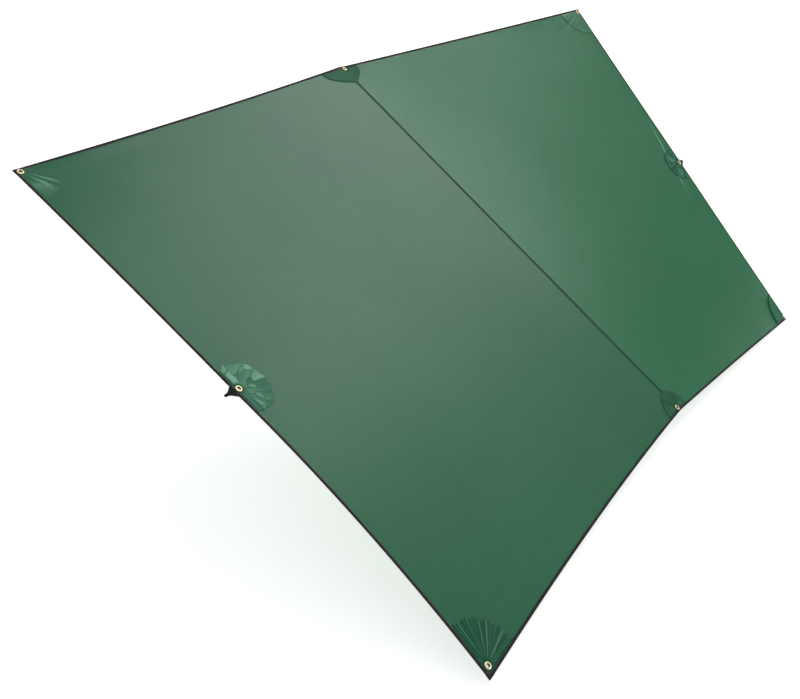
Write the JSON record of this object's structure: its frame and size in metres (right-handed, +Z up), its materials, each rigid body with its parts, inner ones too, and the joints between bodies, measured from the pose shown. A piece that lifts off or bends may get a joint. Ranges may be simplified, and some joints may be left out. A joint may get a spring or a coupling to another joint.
{
  "type": "tarp shelter",
  "caption": "Lean-to tarp shelter of two coated cloth panels joined by a centre seam, with bound edges, brass eyelets, corner patches and webbing side loops.",
  "frame": {"origin": "centre of the rear seam eyelet's hole, in the cloth's mid plane", "axes": "+Z up; the raised open front faces -Y and the low rear edge lies along +Y; the near wing is on +X and the far wing on -X; the centre seam lies in the plane X = 0"},
  "size_m": [3.0829, 1.5167, 1.4022],
  "materials": {
    "canopy_fabric": "satin",
    "patch_fabric": "satin",
    "binding_tape": "matte",
    "webbing": "matte",
    "thread": "matte",
    "brass": "satin"
  },
  "bodies": {
    "centre_seam": {"centre_seam": "canopy_fabric", "rear_seam_binding": "binding_tape", "rear_seam_patch_centre": "patch_fabric", "rear_seam_eyelet": "brass", "rear_seam_washer": "brass", "front_seam_binding": "binding_tape", "front_seam_patch_centre": "patch_fabric", "front_seam_eyelet": "brass", "front_seam_washer": "brass"},
    "near_wing": {"near_panel": "canopy_fabric", "near_side_binding": "binding_tape", "near_rear_binding": "binding_tape", "near_front_binding": "binding_tape", "near_front_corner_eyelet": "brass", "near_front_corner_washer": "brass", "near_middle_eyelet": "brass", "near_middle_washer": "brass", "near_rear_corner_eyelet": "brass", "near_rear_corner_washer": "brass", "near_front_corner_patch": "patch_fabric", "near_rear_corner_patch": "patch_fabric", "near_middle_patch": "patch_fabric", "front_seam_patch_near": "patch_fabric", "rear_seam_patch_near": "patch_fabric", "near_loop_tail": "webbing", "near_loop_bartack": "thread"},
    "far_wing": {"far_panel": "canopy_fabric", "far_side_binding": "binding_tape", "far_rear_binding": "binding_tape", "far_front_binding": "binding_tape", "far_front_corner_eyelet": "brass", "far_front_corner_washer": "brass", "far_middle_eyelet": "brass", "far_middle_washer": "brass", "far_rear_corner_eyelet": "brass", "far_rear_corner_washer": "brass", "far_front_corner_patch": "patch_fabric", "far_rear_corner_patch": "patch_fabric", "far_middle_patch": "patch_fabric", "front_seam_patch_far": "patch_fabric", "rear_seam_patch_far": "patch_fabric", "far_loop_tail": "webbing", "far_loop_bartack": "thread"},
    "near_loop": {"near_loop": "webbing"},
    "far_loop": {"far_loop": "webbing"}
  },
  "joints": [
    {"name": "near_wing_fold", "type": "hinge", "parent": "centre_seam", "child": "near_wing", "pos_m": [0.0135, -0.71068, 0.55576], "axis": [0, -0.7877, 0.616], "range_deg": [-75, 75]},
    {"name": "far_wing_fold", "type": "hinge", "parent": "centre_seam", "child": "far_wing", "pos_m": [-0.0135, -0.71068, 0.55576], "axis": [0, 0.7877, -0.616], "range_deg": [-75, 75]},
    {"name": "near_loop_flop", "type": "hinge", "parent": "near_wing", "child": "near_loop", "pos_m": [1.52299, -0.67807, 0.47598], "axis": [-0.0103, -0.8247, 0.5654], "range_deg": [-85, 85]},
    {"name": "far_loop_flop", "type": "hinge", "parent": "far_wing", "child": "far_loop", "pos_m": [-1.49797, -0.5229, 0.59604], "axis": [0.0138, -0.633, 0.774], "range_deg": [-85, 85]}
  ]
}
